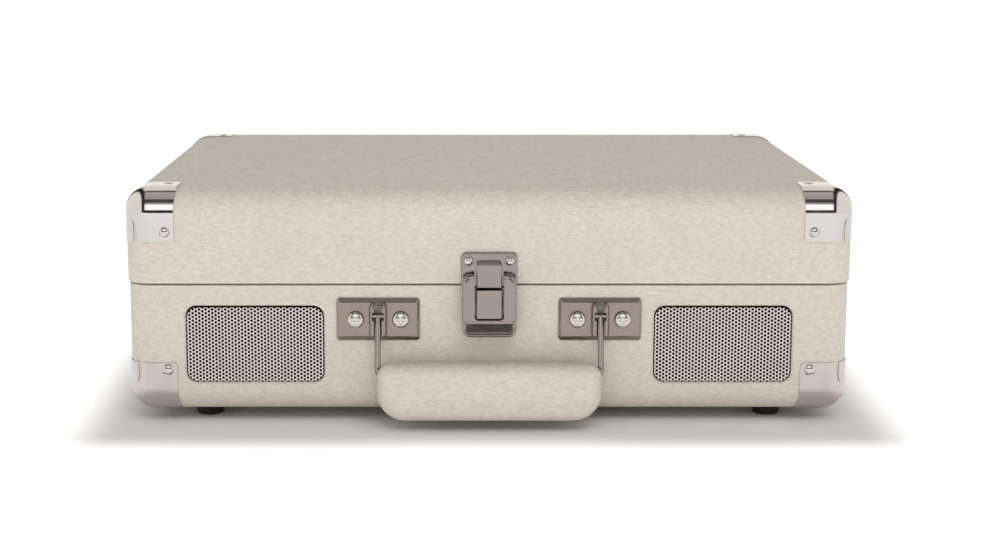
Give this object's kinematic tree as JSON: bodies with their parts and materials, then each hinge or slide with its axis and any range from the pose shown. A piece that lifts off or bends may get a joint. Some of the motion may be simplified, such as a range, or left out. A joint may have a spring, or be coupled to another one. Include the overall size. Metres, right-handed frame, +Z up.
{
  "type": "suitcase record player",
  "caption": "Portable record player in a covered suitcase with a hinged lid, front latch, drop handle, speaker grilles and a belt-driven turntable inside.",
  "frame": {"origin": "middle of the bottom of the bounding box, on the floor under the feet", "axes": "+X to the right as seen from the front, -Y towards the front (latch and handle), +Z up"},
  "size_m": [0.3572, 0.2934, 0.1178],
  "materials": {
    "black_rubber": "matt",
    "board_laminate": "solder mask",
    "bright_chrome": "polished",
    "deck_plastic": "fine moulded texture",
    "felt": "felt",
    "gloss_black": "moulded",
    "grille_steel": "perforated, painted",
    "hinge_steel": "satin",
    "latch_nickel": "bright nickel",
    "leatherette": "pebbled leatherette, satin",
    "lid_chrome": "polished",
    "lining_fabric": "flocked lining",
    "machined_aluminium": "turned",
    "nickel_plate": "satin nickel",
    "red_plastic": "moulded",
    "satin_cap_steel": "satin",
    "speaker_frame": "stamped, painted",
    "turned_steel": "turned",
    "white_plastic": "moulded"
  },
  "bodies": {
    "case": {"base_shell": "leatherette", "deck_plate": "deck_plastic", "socket_panel": "deck_plastic", "line_jack_left": "white_plastic", "line_jack_right": "red_plastic", "power_socket": "deck_plastic", "headphone_socket": "turned_steel", "circuit_board": "board_laminate", "motor": "turned_steel", "drive_belt": "black_rubber", "spindle": "bright_chrome", "platter_clip": "turned_steel", "tonearm_turret": "deck_plastic", "arm_rest": "deck_plastic", "latch_base": "latch_nickel", "foot_front_left": "black_rubber", "foot_front_right": "black_rubber", "foot_rear_left": "black_rubber", "foot_rear_right": "black_rubber", "base_corner_front_left": "satin_cap_steel", "base_corner_front_right": "satin_cap_steel", "base_corner_rear_left": "satin_cap_steel", "base_corner_rear_right": "satin_cap_steel", "grille_left": "grille_steel", "grille_right": "grille_steel", "speaker_left": "speaker_frame", "speaker_right": "speaker_frame", "handle_plate_left": "nickel_plate", "handle_plate_right": "nickel_plate", "handle_screw_left_1": "bright_chrome", "handle_screw_left_2": "bright_chrome", "handle_screw_right_1": "bright_chrome", "handle_screw_right_2": "bright_chrome", "hinge_base_left": "hinge_steel", "hinge_base_right": "hinge_steel"},
    "lid": {"lid_shell": "leatherette", "lid_lining": "lining_fabric", "latch_strike": "latch_nickel", "lid_corner_front_left": "lid_chrome", "lid_corner_front_right": "lid_chrome", "lid_corner_rear_left": "lid_chrome", "lid_corner_rear_right": "lid_chrome", "hinge_lid_left": "hinge_steel", "hinge_lid_right": "hinge_steel"},
    "handle": {"handle_bail": "bright_chrome", "handle_grip": "leatherette"},
    "latch": {"latch_lever": "latch_nickel"},
    "platter_body": {"platter": "machined_aluminium", "slip_mat": "felt"},
    "pulley_body": {"motor_pulley": "turned_steel"},
    "yoke": {"tonearm_yoke": "deck_plastic"},
    "arm": {"tonearm": "deck_plastic", "cartridge": "gloss_black", "stylus": "red_plastic"},
    "clip": {"arm_clip": "deck_plastic"},
    "cue": {"cue_lever": "deck_plastic"},
    "volume": {"volume_knob": "deck_plastic"},
    "speed": {"speed_switch": "deck_plastic"},
    "auto_stop": {"auto_stop_switch": "deck_plastic"},
    "adapter": {"single_adapter": "deck_plastic"}
  },
  "joints": [
    {"name": "lid_hinge", "type": "hinge", "parent": "case", "child": "lid", "pos_m": [0, 0.1441, 0.07], "axis": [-1, 0, 0], "range_deg": [0, 100]},
    {"name": "handle_swing", "type": "hinge", "parent": "case", "child": "handle", "pos_m": [0, -0.1281, 0.055], "axis": [1, 0, 0], "range_deg": [-115, 0]},
    {"name": "latch_lift", "type": "hinge", "parent": "case", "child": "latch", "pos_m": [0, -0.1293, 0.0742], "axis": [-1, 0, 0], "range_deg": [0, 95]},
    {"name": "platter_spin", "type": "hinge", "parent": "case", "child": "platter_body", "pos_m": [-0.052, -0.0002, 0.0656], "axis": [0, 0, -1], "continuous": true},
    {"name": "pulley_spin", "type": "hinge", "parent": "case", "child": "pulley_body", "pos_m": [-0.1114, 0.0592, 0.0656], "axis": [0, 0, -1], "continuous": true},
    {"name": "tonearm_swing", "type": "hinge", "parent": "case", "child": "yoke", "pos_m": [0.095, 0.0748, 0.0656], "axis": [0, 0, -1], "range_deg": [0, 46]},
    {"name": "cue_lever_lift", "type": "hinge", "parent": "case", "child": "cue", "pos_m": [0.12, 0.0748, 0.0736], "axis": [-1, 0, 0], "range_deg": [0, 40]},
    {"name": "tonearm_lift", "type": "hinge", "parent": "yoke", "child": "arm", "pos_m": [0.095, 0.0748, 0.09], "axis": [-1, 0, 0], "range_deg": [0, 4.5]},
    {"name": "arm_clip_turn", "type": "hinge", "parent": "case", "child": "clip", "pos_m": [0.1023, -0.0352, 0.0958], "axis": [0, -1, 0], "range_deg": [0, 90]},
    {"name": "volume_turn", "type": "hinge", "parent": "case", "child": "volume", "pos_m": [0.142, -0.0882, 0.0656], "axis": [0, 0, -1], "range_deg": [0, 300]},
    {"name": "speed_slide", "type": "slide", "parent": "case", "child": "speed", "axis": [0, 1, 0], "range_m": [0, 0.012]},
    {"name": "auto_stop_slide", "type": "slide", "parent": "case", "child": "auto_stop", "axis": [0, 1, 0], "range_m": [0, 0.005]},
    {"name": "adapter_lift", "type": "slide", "parent": "case", "child": "adapter", "axis": [0, 0, 1], "range_m": [0, 0.02]}
  ],
  "couplings": [
    {"joint": "pulley_spin", "follows": "platter_spin", "ratio": 13.333},
    {"joint": "tonearm_lift", "follows": "cue_lever_lift", "ratio": 0.1125}
  ]
}
